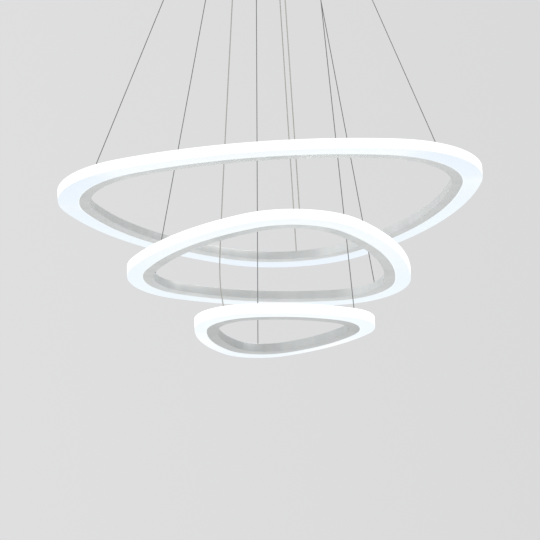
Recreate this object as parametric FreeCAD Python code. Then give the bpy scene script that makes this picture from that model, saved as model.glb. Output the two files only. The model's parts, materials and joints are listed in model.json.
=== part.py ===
import FreeCAD, Part
import math
import os

# Three-ring pendant light: rounded-triangle rings hung one under another on thin steel
# wires from a round ceiling canopy. Millimetres, +Z up. The origin is the centre of the
# canopy on the ceiling plane, so the whole lamp hangs in -Z.

V = FreeCAD.Vector
UP = V(0, 0, 1)

# ---------------------------------------------------------------- driving sizes: rings
# Both outlines of a ring, the cover's outer wall and the metal body's edge, are three corner
# arcs and three flatter side arcs, all tangent.
# cover_reach: ring axis to the centre of a corner arc; cover_radius: that arc's radius.
# side_reach: ring axis to the centre of a side arc, on the far side from that side.
# corner_band, side_band: the lit band's width at a corner and at the middle of a side.
# body_radius: the corner radius of the metal body's edge, inside the lit band.
# heading: the direction of the first corner. anchor_turns: from there to each wire.
# drop: from the mouths of the wire grippers down to the ring's underside.
# supply: which of the three wires is the supply cable. The small ring's is a little slack:
# supply_leans are the (above its anchor, sideways) corners where it leaves its straight line.
# bend_share, below: how much of the shorter run beside such a corner its arc may take.
# The middle ring hangs out of level by middle_tilt, rising towards middle_tilt_heading.
big_cover_reach = 201.8
big_cover_radius = 198.2
big_side_reach = 408.3
big_corner_band = 39.0
big_side_band = 28.1
big_body_radius = 187.3
big_heading = 84.3
big_hang_x = -8.2
big_drop = 540.0
big_anchor_turns = (0.0, 120.0, 240.0)
big_exit_radius = 140.2
big_supply = 0

middle_cover_reach = 123.8
middle_cover_radius = 149.1
middle_side_reach = 299.9
middle_corner_band = 27.9
middle_side_band = 25.3
middle_body_radius = 119.7
middle_heading = 281.5
middle_hang_x = -13.0
middle_drop = 652.3
middle_anchor_turns = (-0.8, 119.9, 236.4)
middle_exit_radius = 99.5
middle_supply = 0
middle_tilt = 2.6
middle_tilt_heading = 236.5

small_cover_reach = 84.6
small_cover_radius = 87.5
small_side_reach = 187.1
small_corner_band = 27.2
small_side_band = 19.6
small_body_radius = 82.0
small_heading = 106.9
small_hang_x = -13.3
small_drop = 773.4
small_anchor_turns = (-0.8, 121.0, 245.5)
small_exit_radius = 82.7
small_supply = 1
small_supply_leans = ((118.0, -11.9), (46.0, -8.9))

diffuser_height = 19.0
diffuser_wall = 2.0
diffuser_edge_round = 0.8
diffuser_hook_reach = 1.5
diffuser_hook_height = 1.4
diffuser_gap = 0.2
flange_width = 19.3
metal_height = 15.2
metal_wall = 1.5
metal_edge_round = 0.5
ledge_reach = 1.2
ledge_height = 0.8

strip_height = 8.0
strip_thickness = 0.4
chip_width = 3.0
chip_height = 2.8
chip_depth = 0.9
chip_pitch = 25.0
lead_radius = 0.8
lead_bend_radius = 4.8
lead_hole_clearance = 0.4

splice_length = 60.0
splice_thickness = 2.0
splice_gap = 0.3
splice_screw_radius = 1.5
splice_screw_spread = 34.0

# ------------------------------------------------------- driving sizes: wires and anchors
wire_radius = 0.75
supply_cable_radius = 1.0
wire_clearance = 0.25
wire_bend_radius = 8.0
bend_share = 0.45
straight_above_anchor = 2.4
crimp_gap = 0.05
anchor_head_radius = 4.0
anchor_head_height = 2.4
anchor_crown_radius = 2.2
anchor_shank_radius = 2.5
anchor_shank_clearance = 0.1
anchor_nut_height = 2.4
anchor_nut_width = 8.0
anchor_shank_below_nut = 1.2
anchor_from_rib = 4.9

# ------------------------------------------------------------- driving sizes: canopy
canopy_radius = 175.0
canopy_height = 50.0
canopy_wall = 1.2
canopy_edge_round = 6.0

bracket_arm_width = 26.0
bracket_thickness = 2.0
bracket_tab_depth = 24.0
bracket_gap = 1.0
ceiling_hole_radius = 2.5
ceiling_slot_length = 22.0
ceiling_hole_spacing = 120.0
cable_hole_radius = 9.0

side_screw_radius = 2.0
side_screw_drop = 14.0
side_screw_reach = 6.0
side_screw_head_radius = 5.5
side_screw_head_height = 4.0
side_screw_head_round = 1.6
side_screw_slot_width = 1.2
side_screw_slot_depth = 1.4
screw_clearance = 0.2
thread_clearance = 0.05

# ------------------------------------------------------------- driving sizes: grippers
gripper_barrel_radius = 6.0
gripper_barrel_length = 8.0
gripper_barrel_chamfer = 0.6
gripper_flange_radius = 8.0
gripper_flange_height = 2.0
gripper_shank_radius = 5.0
gripper_shank_length = 14.0
gripper_hole_clearance = 0.15
gripper_lip_height = 1.2
gripper_cavity_radius = 3.6
gripper_cavity_length = 12.0
gripper_nut_height = 4.0
gripper_nut_width = 15.0
plunger_neck_radius = 2.5
plunger_neck_length = 6.4
plunger_chamfer = 0.4
plunger_shoulder_radius = 3.2
plunger_shoulder_height = 2.6
plunger_clearance = 0.15
spring_outer_radius = 3.2
spring_wire = 0.5
exit_below_plunger = 5.0

# ------------------------------------------------------------- driving sizes: electrics
driver_length = 108.0
driver_width = 28.0
driver_height = 24.0
driver_ear_length = 8.0
driver_ear_width = 17.0
driver_ear_thickness = 2.0
driver_edge_round = 2.0
driver_screw_radius = 1.5
driver_screw_head_radius = 2.8
driver_screw_head_height = 1.8
driver_big_place = (0.0, 26.0)
driver_middle_place = (8.0, -69.0)
driver_small_place = (0.0, -12.0)
lead_above_gripper = 9.0
output_lead_bend_radius = 6.0

terminal_place = (44.0, 106.0)
terminal_length = 36.0
terminal_width = 20.0
terminal_height = 16.0
terminal_bore_height = 6.4
terminal_ways = 3
terminal_bore_radius = 2.0
terminal_screw_radius = 1.8
terminal_screw_sunk = 1.0

earth_place = (-70.0, 108.0)
earth_stud_radius = 2.0
earth_stud_height = 14.0
earth_nut_height = 3.2
earth_nut_width = 7.0
earth_lug_radius = 5.0
earth_lug_length = 15.0
earth_lug_width = 5.0
earth_lug_thickness = 0.8

# ------------------------------------------------------------------ worked-out places
canopy_floor_z = -canopy_height
canopy_inside_z = canopy_floor_z + canopy_wall
gripper_flange_z = canopy_floor_z - gripper_flange_height
gripper_bottom_z = gripper_flange_z - gripper_barrel_length
gripper_top_z = canopy_floor_z + gripper_shank_length
cavity_top_z = gripper_bottom_z + gripper_cavity_length
plunger_seat_z = gripper_bottom_z + gripper_lip_height + thread_clearance
plunger_bottom_z = plunger_seat_z - plunger_neck_length
exit_z = plunger_bottom_z - exit_below_plunger
wire_bore_radius = supply_cable_radius + wire_clearance


def outline(reach, radius, side):
    """An outline: corner arcs' centres and radius, and the side arcs' centres."""
    return dict(reach=reach, radius=radius, side=side)


def side_extent(line):
    """From the ring's axis to the middle of an outline's side."""
    reach, radius, side = line["reach"], line["radius"], line["side"]
    return radius + math.sqrt(reach * reach + side * side + reach * side) - side


def body_outline(cover, corner_band, side_band, radius):
    """The outline with that corner radius inside the cover's, by a band at corners and sides."""
    reach = cover["reach"] + cover["radius"] - corner_band - radius
    rise = side_extent(cover) - side_band - radius
    return outline(reach, radius, (reach * reach - rise * rise) / (2.0 * rise - reach))


def ring_record(name, cover, bands, body_radius, hang, turns, wires, tilt=(0.0, 0.0), leans=()):
    """What one ring's pieces are made from: outlines, place, wires and how far out of level."""
    return dict(name=name, cover=cover, body=body_outline(cover, *bands, body_radius),
                x=hang[0], drop=hang[1], heading=hang[2], turns=turns,
                exit_radius=wires[0], supply=wires[1], supply_leans=leans,
                tilt=tilt[0], tilt_heading=tilt[1])


RINGS = (
    ring_record("big", outline(big_cover_reach, big_cover_radius, big_side_reach),
                (big_corner_band, big_side_band), big_body_radius,
                (big_hang_x, big_drop, big_heading), big_anchor_turns,
                (big_exit_radius, big_supply)),
    ring_record("middle", outline(middle_cover_reach, middle_cover_radius, middle_side_reach),
                (middle_corner_band, middle_side_band), middle_body_radius,
                (middle_hang_x, middle_drop, middle_heading), middle_anchor_turns,
                (middle_exit_radius, middle_supply), (middle_tilt, middle_tilt_heading)),
    ring_record("small", outline(small_cover_reach, small_cover_radius, small_side_reach),
                (small_corner_band, small_side_band), small_body_radius,
                (small_hang_x, small_drop, small_heading), small_anchor_turns,
                (small_exit_radius, small_supply), leans=small_supply_leans),
)
DRIVERS = (("big", driver_big_place), ("middle", driver_middle_place),
           ("small", driver_small_place))
LETTERS = ("a", "b", "c")


# ------------------------------------------------------------------------ small helpers
def polar(radius, degrees, z=0.0):
    """The point at that radius and heading about the Z axis."""
    a = math.radians(degrees)
    return V(radius * math.cos(a), radius * math.sin(a), z)


def save(name, solids):
    """Writes one node: a list of one or more separate solids."""
    shape = solids[0] if len(solids) == 1 else Part.makeCompound(solids)
    shape.exportStep("parts/" + name + ".step")


def cylinder(radius, height, base, direction=UP):
    """A round bar from base along direction."""
    return Part.makeCylinder(radius, height, base, direction)


def block(length, width, height, centre):
    """A box standing on centre, a point on its underside."""
    return Part.makeBox(length, width, height, centre - V(length / 2.0, width / 2.0, 0))


def hexagon(width, height, base):
    """A hexagonal nut blank of that width across its flats, standing on base."""
    corners = [base + polar(width / math.sqrt(3.0), 60.0 * i) for i in range(7)]
    return Part.Face(Part.makePolygon(corners)).extrude(UP * height)


def turned(profile, place):
    """The solid of revolution of (radius, z) points about the vertical axis through place."""
    points = [V(r, 0, z) for r, z in profile]
    face = Part.Face(Part.makePolygon(points + points[:1]))
    solid = face.revolve(V(0, 0, 0), UP, 360)
    solid.translate(place)
    return solid


def round_edges(shape, radius, chosen):
    """The shape with the edges that chosen(edge) picks rounded off."""
    return shape.makeFillet(radius, [e for e in shape.Edges if chosen(e)])


def flat_at(z):
    """A test for edges that lie in the level plane at z."""
    return lambda e: abs(e.BoundBox.ZMin - z) < 1e-4 and abs(e.BoundBox.ZMax - z) < 1e-4


def widest_bend(before, corner, after):
    """The radius of the widest arc that the two runs beside a slack corner leave room for."""
    incoming, outgoing = corner - before, after - corner
    shorter = min(incoming.Length, outgoing.Length)
    return bend_share * shorter / math.tan(incoming.getAngle(outgoing) / 2.0)


def tube_along(points, bend_radii, tube_radius):
    """A round tube along straight runs through the points, joined by tangent arcs."""
    edges = []
    length = 0.0
    start = points[0]
    for before, corner, after, bend_radius in zip(points, points[1:], points[2:], bend_radii):
        incoming = (corner - before).normalize()
        outgoing = (after - corner).normalize()
        turn = incoming.getAngle(outgoing)
        setback = bend_radius * math.tan(turn / 2.0)
        arc_start = corner - incoming * setback
        arc_end = corner + outgoing * setback
        inwards = (outgoing - incoming).normalize()
        arc_middle = corner + inwards * (bend_radius / math.cos(turn / 2.0) - bend_radius)
        edges.append(Part.LineSegment(start, arc_start).toShape())
        edges.append(Part.Arc(arc_start, arc_middle, arc_end).toShape())
        length += (arc_start - start).Length + bend_radius * turn
        start = arc_end
    edges.append(Part.LineSegment(start, points[-1]).toShape())
    length += (points[-1] - start).Length
    first = (points[1] - points[0]).normalize()
    section = Part.Wire(Part.makeCircle(tube_radius, points[0], first))
    tube = Part.Wire(edges).makePipeShell([section], True, False)
    expected = math.pi * tube_radius ** 2 * length
    print("tube of %.1f mm, bends of %s mm, volume / expected %.5f"
          % (length, ", ".join("%.1f" % r for r in bend_radii), tube.Volume / expected))
    return tube


# ------------------------------------------------------------------------- ring outlines
def ring_bottom_z(ring):
    """The height of a ring's underside."""
    return exit_z - ring["drop"]


def ring_centre(ring):
    """The middle of a ring's underside."""
    return V(ring["x"], 0, ring_bottom_z(ring))


def ring_arcs(ring, edge, offset):
    """(centre, radius, from heading, to heading) of an outline's six arcs, moved by offset."""
    line = ring[edge]
    reach, side, radius = line["reach"], line["side"], line["radius"]
    half_side = math.degrees(math.atan2(reach * math.sqrt(3.0) / 2.0, reach / 2.0 + side))
    half_corner = 60.0 - half_side
    arcs = []
    for corner in range(3):
        heading = ring["heading"] + 120.0 * corner
        facing = heading + 60.0
        arcs.append((polar(reach, heading), radius + offset,
                     heading - half_corner, heading + half_corner))
        arcs.append((polar(side, facing + 180.0), side_extent(line) + side + offset,
                     facing - half_side, facing + half_side))
    return arcs


def ring_outline(ring, edge, offset, height):
    """The closed wire at offset from the cover's or the body's outline, above the underside."""
    edges = []
    for centre, radius, start, end in ring_arcs(ring, edge, offset):
        headings = (start, (start + end) / 2.0, end)
        a, b, c = (ring_centre(ring) + centre + polar(radius, h, height) for h in headings)
        edges.append(Part.Arc(a, b, c).toShape())
    return Part.Wire(edges)


def ring_band(ring, outer, inner, low, high):
    """A ring-shaped wall between two (outline, offset) pairs, from low to high."""
    rise = UP * (high - low)
    outside = Part.Face(ring_outline(ring, *outer, low)).extrude(rise)
    inside = Part.Face(ring_outline(ring, *inner, low)).extrude(rise)
    return outside.cut(inside)


def ring_point(ring, edge, offset, turn, height):
    """The point of that outline, moved by offset, at that turn from the first corner."""
    aim = polar(1.0, ring["heading"] + turn)
    for centre, radius, start, end in ring_arcs(ring, edge, offset):
        along = centre.dot(aim)
        inside_root = along * along - centre.dot(centre) + radius * radius
        if inside_root < 0.0:
            continue
        out = aim * (along + math.sqrt(inside_root))
        facing = math.degrees(math.atan2(out.y - centre.y, out.x - centre.x))
        if (facing - start + 1e-6) % 360.0 <= end - start + 2e-6:
            return ring_centre(ring) + out + UP * height
    raise ValueError("no arc of the ring lies at that heading")


def ring_walk(ring, edge, offset, pitch, height):
    """(point, outward heading) at about one pitch apart all the way round the outline."""
    places = []
    for centre, radius, start, end in ring_arcs(ring, edge, offset):
        count = max(1, round(math.radians(end - start) * radius / pitch))
        for i in range(count):
            heading = start + (end - start) * (i + 0.5) / count
            places.append((ring_centre(ring) + centre + polar(radius, heading, height), heading))
    return places


def on_outline(ring, edge, offset, height):
    """A test for edges that follow that outline, moved by offset, height above the underside."""
    wire = ring_outline(ring, edge, offset, height)
    level = flat_at(ring_bottom_z(ring) + height)

    def test(candidate):
        middle = candidate.valueAt((candidate.FirstParameter + candidate.LastParameter) / 2.0)
        return level(candidate) and wire.distToShape(Part.Vertex(middle))[0] < 1e-3

    return test


def tilt_axis(ring):
    """The level axis that a ring is turned about to hang out of level."""
    return polar(1.0, ring["tilt_heading"] - 90.0)


def tilted_direction(ring, direction):
    """A direction of the level ring, as the hung ring has it."""
    return FreeCAD.Rotation(tilt_axis(ring), ring["tilt"]).multVec(direction)


def save_hung(name, ring, solids):
    """Writes one of a ring's nodes, made level and turned here as the ring hangs."""
    for solid in solids:
        solid.rotate(ring_centre(ring), tilt_axis(ring), ring["tilt"])
    save(name + "_" + ring["name"], solids)


# --------------------------------------------------------------------------- ring pieces
# Places in a ring's section are (outline, offset) pairs, the offset measured outwards.
body_edge = ("body", 0.0)
rib_outer = ("body", -ledge_reach)
rib_inner = ("body", -ledge_reach - metal_wall)
hole_edge = ("body", -flange_width)
wall_inside = ("body", metal_wall - flange_width)
top_plate_edge = ("cover", -diffuser_wall - diffuser_gap)


def anchor_points(ring):
    """The foot of each wire's anchor, on the metal top of the level ring."""
    edge, offset = rib_inner
    return [ring_point(ring, edge, offset - anchor_from_rib, turn, metal_height)
            for turn in ring["turns"]]


def lead_height():
    """How far the strip's lead runs above the ring's underside."""
    return strip_low() + lead_radius + lead_hole_clearance


def splice_point(ring):
    """The middle of the splice, on the rib's inner face at the middle of a side."""
    return ring_point(ring, *rib_inner, 180.0, 0.0)


def splice_out(ring):
    """The outward direction at the splice."""
    return polar(1.0, ring["heading"] + 180.0)


def splice_screw_starts(ring, depth):
    """Where the two splice screws are, depth inwards from the rib's inner face."""
    out = splice_out(ring)
    side = UP.cross(out)
    middle = splice_point(ring) - out * depth + UP * metal_height / 2.0
    return [middle + side * s for s in (-splice_screw_spread / 2.0, splice_screw_spread / 2.0)]


def make_frame(ring):
    """The ring's metal body: flange, inner wall, rib, top plate and the diffuser's ledge."""
    shape = ring_band(ring, rib_outer, hole_edge, 0.0, metal_wall)
    shape = shape.fuse([
        ring_band(ring, wall_inside, hole_edge, 0.0, metal_height),
        ring_band(ring, rib_outer, rib_inner, 0.0, metal_height),
        ring_band(ring, top_plate_edge, hole_edge, metal_height - metal_wall, metal_height),
        ring_band(ring, body_edge, rib_outer, 0.0, ledge_height),
    ]).removeSplitter()
    low = on_outline(ring, *hole_edge, 0.0)
    high = on_outline(ring, *hole_edge, metal_height)
    shape = round_edges(shape, metal_edge_round, lambda e: low(e) or high(e))
    cuts = [cylinder(anchor_shank_radius + anchor_shank_clearance, 3.0 * metal_wall,
                     p - UP * 2.0 * metal_wall) for p in anchor_points(ring)]
    supply = anchor_points(ring)[ring["supply"]]
    level = V(supply.x, supply.y, ring_bottom_z(ring) + lead_height())
    out = (level - ring_centre(ring) - UP * lead_height()).normalize()
    cuts.append(cylinder(lead_radius + lead_hole_clearance, flange_width, level, out))
    for start in splice_screw_starts(ring, metal_wall):
        cuts.append(cylinder(splice_screw_radius, 3.0 * metal_wall, start, splice_out(ring)))
    return shape.cut(cuts)


def make_diffuser(ring):
    """The milky cover in one piece: lit band below, lit outer wall, hook over the metal top."""
    wall_outer = ("cover", 0.0)
    wall_inner = ("cover", -diffuser_wall)
    hook_edge = ("cover", -diffuser_wall - diffuser_gap - diffuser_hook_reach)
    band_edge = ("body", diffuser_gap - ledge_reach)
    rebate_edge = ("body", diffuser_gap)
    shape = ring_band(ring, wall_outer, band_edge, 0.0, diffuser_wall)
    shape = shape.fuse([
        ring_band(ring, wall_outer, wall_inner, 0.0, diffuser_height),
        ring_band(ring, wall_inner, hook_edge, metal_height, metal_height + diffuser_hook_height),
    ]).removeSplitter()
    low = on_outline(ring, *wall_outer, 0.0)
    high = on_outline(ring, *wall_outer, diffuser_height)
    shape = round_edges(shape, diffuser_edge_round, lambda e: low(e) or high(e))
    return shape.cut(ring_band(ring, rebate_edge, rib_outer, 0.0, ledge_height + diffuser_gap))


def strip_low():
    """How far the light strip's lower edge is above the ring's underside."""
    return (diffuser_wall + metal_height - metal_wall - strip_height) / 2.0


def make_strip(ring):
    """The light strip: the tape on the rib, its chips, and its lead from the supply anchor."""
    edge, back = rib_outer
    front = back + strip_thickness
    low = strip_low()
    solids = [ring_band(ring, (edge, front), rib_outer, low, low + strip_height)]
    for point, heading in ring_walk(ring, edge, front, chip_pitch, low + strip_height / 2.0):
        chip = Part.makeBox(chip_depth, chip_width, chip_height,
                            V(0, -chip_width / 2.0, -chip_height / 2.0))
        chip.rotate(V(0, 0, 0), UP, heading)
        chip.translate(point)
        solids.append(chip)
    supply = anchor_points(ring)[ring["supply"]]
    corner = V(supply.x, supply.y, ring_bottom_z(ring) + lead_height())
    out = (corner - ring_centre(ring) - UP * lead_height()).normalize()
    end = ring_point(ring, edge, back - metal_wall / 2.0, ring["turns"][ring["supply"]],
                     lead_height())
    start = supply - UP * (metal_wall + anchor_nut_height + anchor_shank_below_nut)
    solids.append(tube_along([start, corner, corner + out * (end - corner).Length],
                             [lead_bend_radius], lead_radius))
    return solids


def make_anchors(ring):
    """Headed, bored studs that the wires' ends are crimped in."""
    shank = metal_wall + anchor_nut_height + anchor_shank_below_nut
    anchors = []
    for i, point in enumerate(anchor_points(ring)):
        bore = wire_size(ring, i) + crimp_gap
        profile = [(bore, -shank), (anchor_shank_radius, -shank), (anchor_shank_radius, 0.0),
                   (anchor_head_radius, 0.0), (anchor_head_radius, anchor_head_height / 2.0),
                   (anchor_crown_radius, anchor_head_height), (bore, anchor_head_height)]
        anchors.append(turned(profile, point))
    return anchors


def make_anchor_nuts(ring):
    """The nuts under the ring's top that hold the anchors."""
    nuts = []
    for point in anchor_points(ring):
        base = point - UP * (metal_wall + anchor_nut_height)
        thread = cylinder(anchor_shank_radius + thread_clearance, anchor_nut_height, base)
        nuts.append(hexagon(anchor_nut_width, anchor_nut_height, base).cut(thread))
    return nuts


def make_splice(ring):
    """The bar and its two screws that close the bent frame where its ends meet."""
    height = metal_height - 2.0 * (metal_wall + splice_gap)
    bar = Part.makeBox(splice_thickness, splice_length, height,
                       V(-splice_thickness, -splice_length / 2.0, 0))
    bar.rotate(V(0, 0, 0), UP, ring["heading"] + 180.0)
    bar.translate(splice_point(ring) + UP * (metal_wall + splice_gap))
    edge, face = rib_inner
    channel = ring_band(ring, (edge, face - thread_clearance), wall_inside, 0.0, metal_height)
    bar = bar.common(channel)
    out = splice_out(ring)
    bar = bar.cut([cylinder(splice_screw_radius, 3.0 * splice_thickness, start, out)
                   for start in splice_screw_starts(ring, 2.0 * splice_thickness)])
    screws = [cylinder(splice_screw_radius - thread_clearance,
                       splice_thickness + metal_wall / 2.0, start, out)
              for start in splice_screw_starts(ring, splice_thickness)]
    return [bar] + screws


# -------------------------------------------------------------------------------- wires
def wire_size(ring, index):
    """The radius of that wire of the ring: the supply cable is thicker."""
    return supply_cable_radius if index == ring["supply"] else wire_radius


def exit_points(ring):
    """Where each of the ring's wires leaves its gripper."""
    return [polar(ring["exit_radius"], ring["heading"] + 120.0 * i, exit_z) for i in range(3)]


def make_wire(ring, index):
    """One suspension wire or supply cable, from inside its gripper to inside its anchor."""
    exit_point = exit_points(ring)[index]
    top = V(exit_point.x, exit_point.y, gripper_top_z)
    level_foot = anchor_points(ring)[index]
    foot = ring_centre(ring) + tilted_direction(ring, level_foot - ring_centre(ring))
    up = tilted_direction(ring, UP)
    bend = foot + up * (anchor_head_height + straight_above_anchor)
    end = foot - up * metal_wall
    run = (bend - exit_point).normalize()
    leans = ring["supply_leans"] if index == ring["supply"] else ()
    slack = [bend - run * above + V(sideways, 0, 0) for above, sideways in leans]
    free = [exit_point, *slack, bend]
    slack_radii = [widest_bend(*corner) for corner in zip(free, free[1:], free[2:])]
    return tube_along([top, *free, end], [wire_bend_radius, *slack_radii, wire_bend_radius],
                      wire_size(ring, index))


# ----------------------------------------------------------------------------- grippers
def make_gripper(place):
    """A gripper's body: barrel and flange below the canopy, threaded shank through it."""
    lip = plunger_neck_radius + plunger_clearance
    low, top = gripper_bottom_z, gripper_top_z
    profile = [
        (lip, low), (gripper_barrel_radius - gripper_barrel_chamfer, low),
        (gripper_barrel_radius, low + gripper_barrel_chamfer),
        (gripper_barrel_radius, gripper_flange_z), (gripper_flange_radius, gripper_flange_z),
        (gripper_flange_radius, canopy_floor_z), (gripper_shank_radius, canopy_floor_z),
        (gripper_shank_radius, top), (wire_bore_radius, top), (wire_bore_radius, cavity_top_z),
        (gripper_cavity_radius, cavity_top_z),
        (gripper_cavity_radius, low + gripper_lip_height), (lip, low + gripper_lip_height),
    ]
    return turned(profile, V(place.x, place.y, 0))


def make_gripper_nut(place):
    """The lock nut inside the canopy."""
    base = V(place.x, place.y, canopy_inside_z)
    thread = cylinder(gripper_shank_radius + thread_clearance, gripper_nut_height, base)
    return hexagon(gripper_nut_width, gripper_nut_height, base).cut(thread)


def make_plunger(place):
    """The release plunger: pushed up, it lets the wire run through the gripper."""
    low, seat = plunger_bottom_z, plunger_seat_z
    shoulder_top = seat + plunger_shoulder_height
    profile = [
        (wire_bore_radius, low), (plunger_neck_radius - plunger_chamfer, low),
        (plunger_neck_radius, low + plunger_chamfer), (plunger_neck_radius, seat),
        (plunger_shoulder_radius, seat), (plunger_shoulder_radius, shoulder_top),
        (wire_bore_radius, shoulder_top),
    ]
    return turned(profile, V(place.x, place.y, 0))


def make_spring(place):
    """The plunger's return spring, hidden in the gripper, as a plain sleeve."""
    low = plunger_seat_z + plunger_shoulder_height + thread_clearance
    high = cavity_top_z - thread_clearance
    inner = spring_outer_radius - spring_wire
    profile = [(inner, low), (spring_outer_radius, low), (spring_outer_radius, high), (inner, high)]
    return turned(profile, V(place.x, place.y, 0))


# -------------------------------------------------------------------------------- canopy
def arm_headings():
    """The headings of the bracket's arms and of the canopy's side screws."""
    return [90.0 * i for i in range(4)]


def bracket_reach():
    """The bracket's centre to the outer faces of its turned-down tabs."""
    return canopy_radius - canopy_wall - bracket_gap


def pan(radius, low, edge_round):
    """A round block from low up to the ceiling plane, with its lower edge rounded."""
    solid = cylinder(radius, -low, V(0, 0, low))
    return round_edges(solid, edge_round, flat_at(low))


def make_canopy():
    """The round canopy pan, open towards the ceiling, with its holes."""
    shape = pan(canopy_radius, canopy_floor_z, canopy_edge_round)
    shape = shape.cut(pan(canopy_radius - canopy_wall, canopy_inside_z,
                          canopy_edge_round - canopy_wall))
    below = UP * 2.0 * canopy_wall
    through = 4.0 * canopy_wall
    holes = []
    for ring in RINGS:
        for p in exit_points(ring):
            holes.append(cylinder(gripper_shank_radius + gripper_hole_clearance, through,
                                  V(p.x, p.y, canopy_inside_z) - below))
    for heading in arm_headings():
        start = polar(canopy_radius - 2.0 * canopy_wall, heading, -side_screw_drop)
        holes.append(cylinder(side_screw_radius + screw_clearance, through, start,
                              polar(1.0, heading)))
    for p in driver_screw_places():
        holes.append(cylinder(driver_screw_radius, through, p - below))
    holes.append(cylinder(earth_stud_radius, through, V(*earth_place, canopy_inside_z) - below))
    return shape.cut(holes)


def make_bracket():
    """The cross-shaped ceiling plate, with a tab turned down at each end."""
    reach = bracket_reach()
    pieces = []
    for heading in arm_headings():
        arm = Part.makeBox(reach, bracket_arm_width, bracket_thickness,
                           V(0, -bracket_arm_width / 2.0, -bracket_thickness))
        tab = Part.makeBox(bracket_thickness, bracket_arm_width, bracket_tab_depth,
                           V(reach - bracket_thickness, -bracket_arm_width / 2.0,
                             -bracket_tab_depth))
        for piece in (arm, tab):
            piece.rotate(V(0, 0, 0), UP, heading)
            pieces.append(piece)
    shape = pieces[0].fuse(pieces[1:])
    shape = shape.common(cylinder(reach, canopy_height, V(0, 0, canopy_floor_z))).removeSplitter()
    through = 3.0 * bracket_thickness
    low = UP * -2.0 * bracket_thickness
    centre = ceiling_hole_spacing / 2.0
    cuts = [cylinder(cable_hole_radius, through, low)]
    straight = ceiling_slot_length - 2.0 * ceiling_hole_radius
    for side in (-1.0, 1.0):
        middle = V(side * centre, 0, 0) + low
        cuts.append(block(straight, 2.0 * ceiling_hole_radius, through, middle))
        for end in (-straight / 2.0, straight / 2.0):
            cuts.append(cylinder(ceiling_hole_radius, through, middle + V(end, 0, 0)))
        cuts.append(cylinder(ceiling_hole_radius, through, V(0, side * centre, 0) + low))
    for heading in arm_headings():
        start = polar(reach - 2.0 * bracket_thickness, heading, -side_screw_drop)
        cuts.append(cylinder(side_screw_radius + thread_clearance, through, start,
                             polar(1.0, heading)))
    return shape.cut(cuts)


def make_side_screws():
    """The slotted screws that hold the canopy to the bracket's tabs."""
    screws = []
    for heading in arm_headings():
        out = polar(1.0, heading)
        face = polar(canopy_radius, heading, -side_screw_drop)
        shank = cylinder(side_screw_radius, side_screw_reach, face - out * side_screw_reach, out)
        head = cylinder(side_screw_head_radius, side_screw_head_height, face, out)
        far = canopy_radius + side_screw_head_height
        head = round_edges(head, side_screw_head_round,
                           lambda e: abs(e.BoundBox.Center.dot(out) - far) < 1e-3)
        slot = Part.makeBox(2.0 * side_screw_slot_depth, 3.0 * side_screw_head_radius,
                            side_screw_slot_width,
                            V(far - side_screw_slot_depth, -1.5 * side_screw_head_radius,
                              -side_screw_drop - side_screw_slot_width / 2.0))
        slot.rotate(V(0, 0, 0), UP, heading)
        screws.append(head.fuse(shank).removeSplitter().cut(slot))
    return screws


# ----------------------------------------------------------------------------- electrics
def ear_screw_places(place):
    """Where one driver's two ears are screwed to the canopy's floor."""
    reach = (driver_length - driver_ear_length) / 2.0
    return [V(place[0] + end * reach, place[1], canopy_inside_z) for end in (-1.0, 1.0)]


def driver_screw_places():
    """Where all the drivers' ears are screwed down."""
    return [p for _, place in DRIVERS for p in ear_screw_places(place)]


def make_driver(place):
    """A constant-current supply in its case, with an ear at each end."""
    foot = V(*place, canopy_inside_z)
    case = block(driver_length - 2.0 * driver_ear_length, driver_width, driver_height, foot)
    case = round_edges(case, driver_edge_round, flat_at(canopy_inside_z + driver_height))
    ears = block(driver_length, driver_ear_width, driver_ear_thickness, foot)
    holes = [cylinder(driver_screw_radius + screw_clearance, driver_ear_thickness, p)
             for p in ear_screw_places(place)]
    return case.fuse(ears).removeSplitter().cut(holes)


def make_driver_screws():
    """The pan-head screws through the drivers' ears."""
    screws = []
    for p in driver_screw_places():
        seat = p + UP * driver_ear_thickness
        length = driver_ear_thickness + canopy_wall
        shank = cylinder(driver_screw_radius - thread_clearance, length, seat - UP * length)
        head = cylinder(driver_screw_head_radius, driver_screw_head_height, seat)
        screws.append(head.fuse(shank).removeSplitter())
    return screws


def make_output_leads():
    """The leads inside the canopy, from each ring's supply gripper to its driver."""
    leads = []
    z = gripper_top_z + lead_above_gripper
    case_half_length = driver_length / 2.0 - driver_ear_length
    for ring, (_, place) in zip(RINGS, DRIVERS):
        p = exit_points(ring)[ring["supply"]]
        side = 1.0 if p.y > place[1] else -1.0
        points = [V(p.x, p.y, gripper_top_z), V(p.x, p.y, z)]
        if abs(p.x - place[0]) < case_half_length:
            points.append(V(p.x, place[1] + side * driver_width / 2.0, z))
        else:
            end = 1.0 if p.x > place[0] else -1.0
            points.append(V(p.x, place[1], z))
            points.append(V(place[0] + end * case_half_length, place[1], z))
        radii = [output_lead_bend_radius] * (len(points) - 2)
        leads.append(tube_along(points, radii, supply_cable_radius))
    return leads


def terminal_way_x():
    """The x of each way of the terminal block."""
    pitch = terminal_length / terminal_ways
    return [terminal_place[0] + (way - (terminal_ways - 1) / 2.0) * pitch
            for way in range(terminal_ways)]


def make_terminal_block():
    """The mains terminal block, with a bore and a clamp-screw hole for each conductor."""
    shape = block(terminal_length, terminal_width, terminal_height,
                  V(*terminal_place, canopy_inside_z))
    axis_z = canopy_inside_z + terminal_bore_height
    cuts = []
    for x in terminal_way_x():
        cuts.append(cylinder(terminal_bore_radius, 2.0 * terminal_width,
                             V(x, terminal_place[1] - terminal_width, axis_z), V(0, 1, 0)))
        cuts.append(cylinder(terminal_screw_radius, terminal_height,
                             V(x, terminal_place[1], axis_z)))
    return shape.cut(cuts)


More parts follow.
